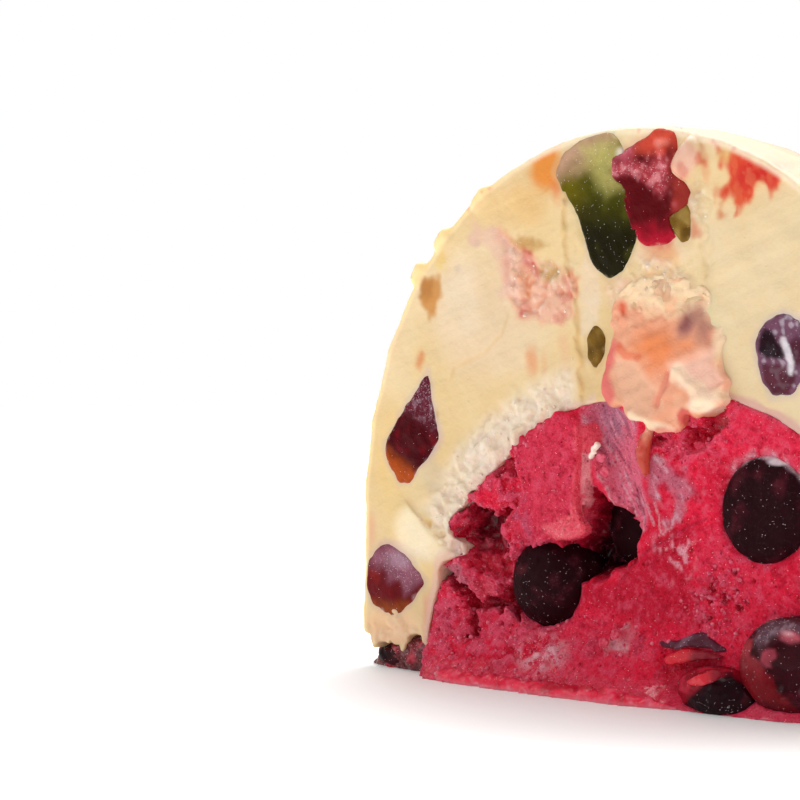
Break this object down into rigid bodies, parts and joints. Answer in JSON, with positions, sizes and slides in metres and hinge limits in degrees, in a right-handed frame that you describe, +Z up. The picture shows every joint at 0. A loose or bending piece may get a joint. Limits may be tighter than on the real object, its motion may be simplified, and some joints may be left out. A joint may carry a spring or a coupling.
{
  "type": "ice cream bombe slice",
  "caption": "Thick upright slice cut from a domed ice cream bombe: a pale cream shell with candied fruit round a red sorbet core with dark cherries.",
  "frame": {"origin": "foot of the dome's axis, in the flat base that the slice stands on", "axes": "+Z up along the dome's axis, -Y out of the cut face that the picture shows, +X to the right along that face"},
  "size_m": [0.1375, 0.0597, 0.108],
  "materials": {
    "cream": "matt, faintly moist frozen cream",
    "sorbet": "frosty, porous sorbet, wet where it thaws",
    "cherry": "dark, wet and slightly frosted fruit",
    "green_fruit": "glossy candied fruit, frosted at its top",
    "red_fruit": "glossy candied fruit with frost",
    "peach_fruit": "pale, wet candied fruit smeared with cream",
    "amber_fruit": "translucent candied fruit",
    "plum_fruit": "dark candied fruit with a pale bloom"
  },
  "bodies": {
    "root": {"cream_shell": "cream", "sorbet_core": "sorbet", "candied_green": "green_fruit", "candied_red": "red_fruit", "candied_olive": "green_fruit", "candied_peach": "peach_fruit", "candied_amber_1": "amber_fruit", "candied_amber_2": "amber_fruit", "candied_plum_1": "plum_fruit", "candied_plum_2": "plum_fruit", "candied_plum_3": "plum_fruit", "candied_plum_4": "plum_fruit", "candied_green_back": "green_fruit", "candied_red_back": "red_fruit", "candied_peach_back": "peach_fruit", "candied_plum_back_1": "plum_fruit", "candied_plum_back_2": "plum_fruit", "cherry_1": "cherry", "cherry_2": "cherry", "cherry_3": "cherry", "cherry_4": "cherry", "cherry_5": "cherry", "cherry_6": "cherry", "cherry_back_1": "cherry", "cherry_back_2": "cherry"}
  },
  "joints": []
}
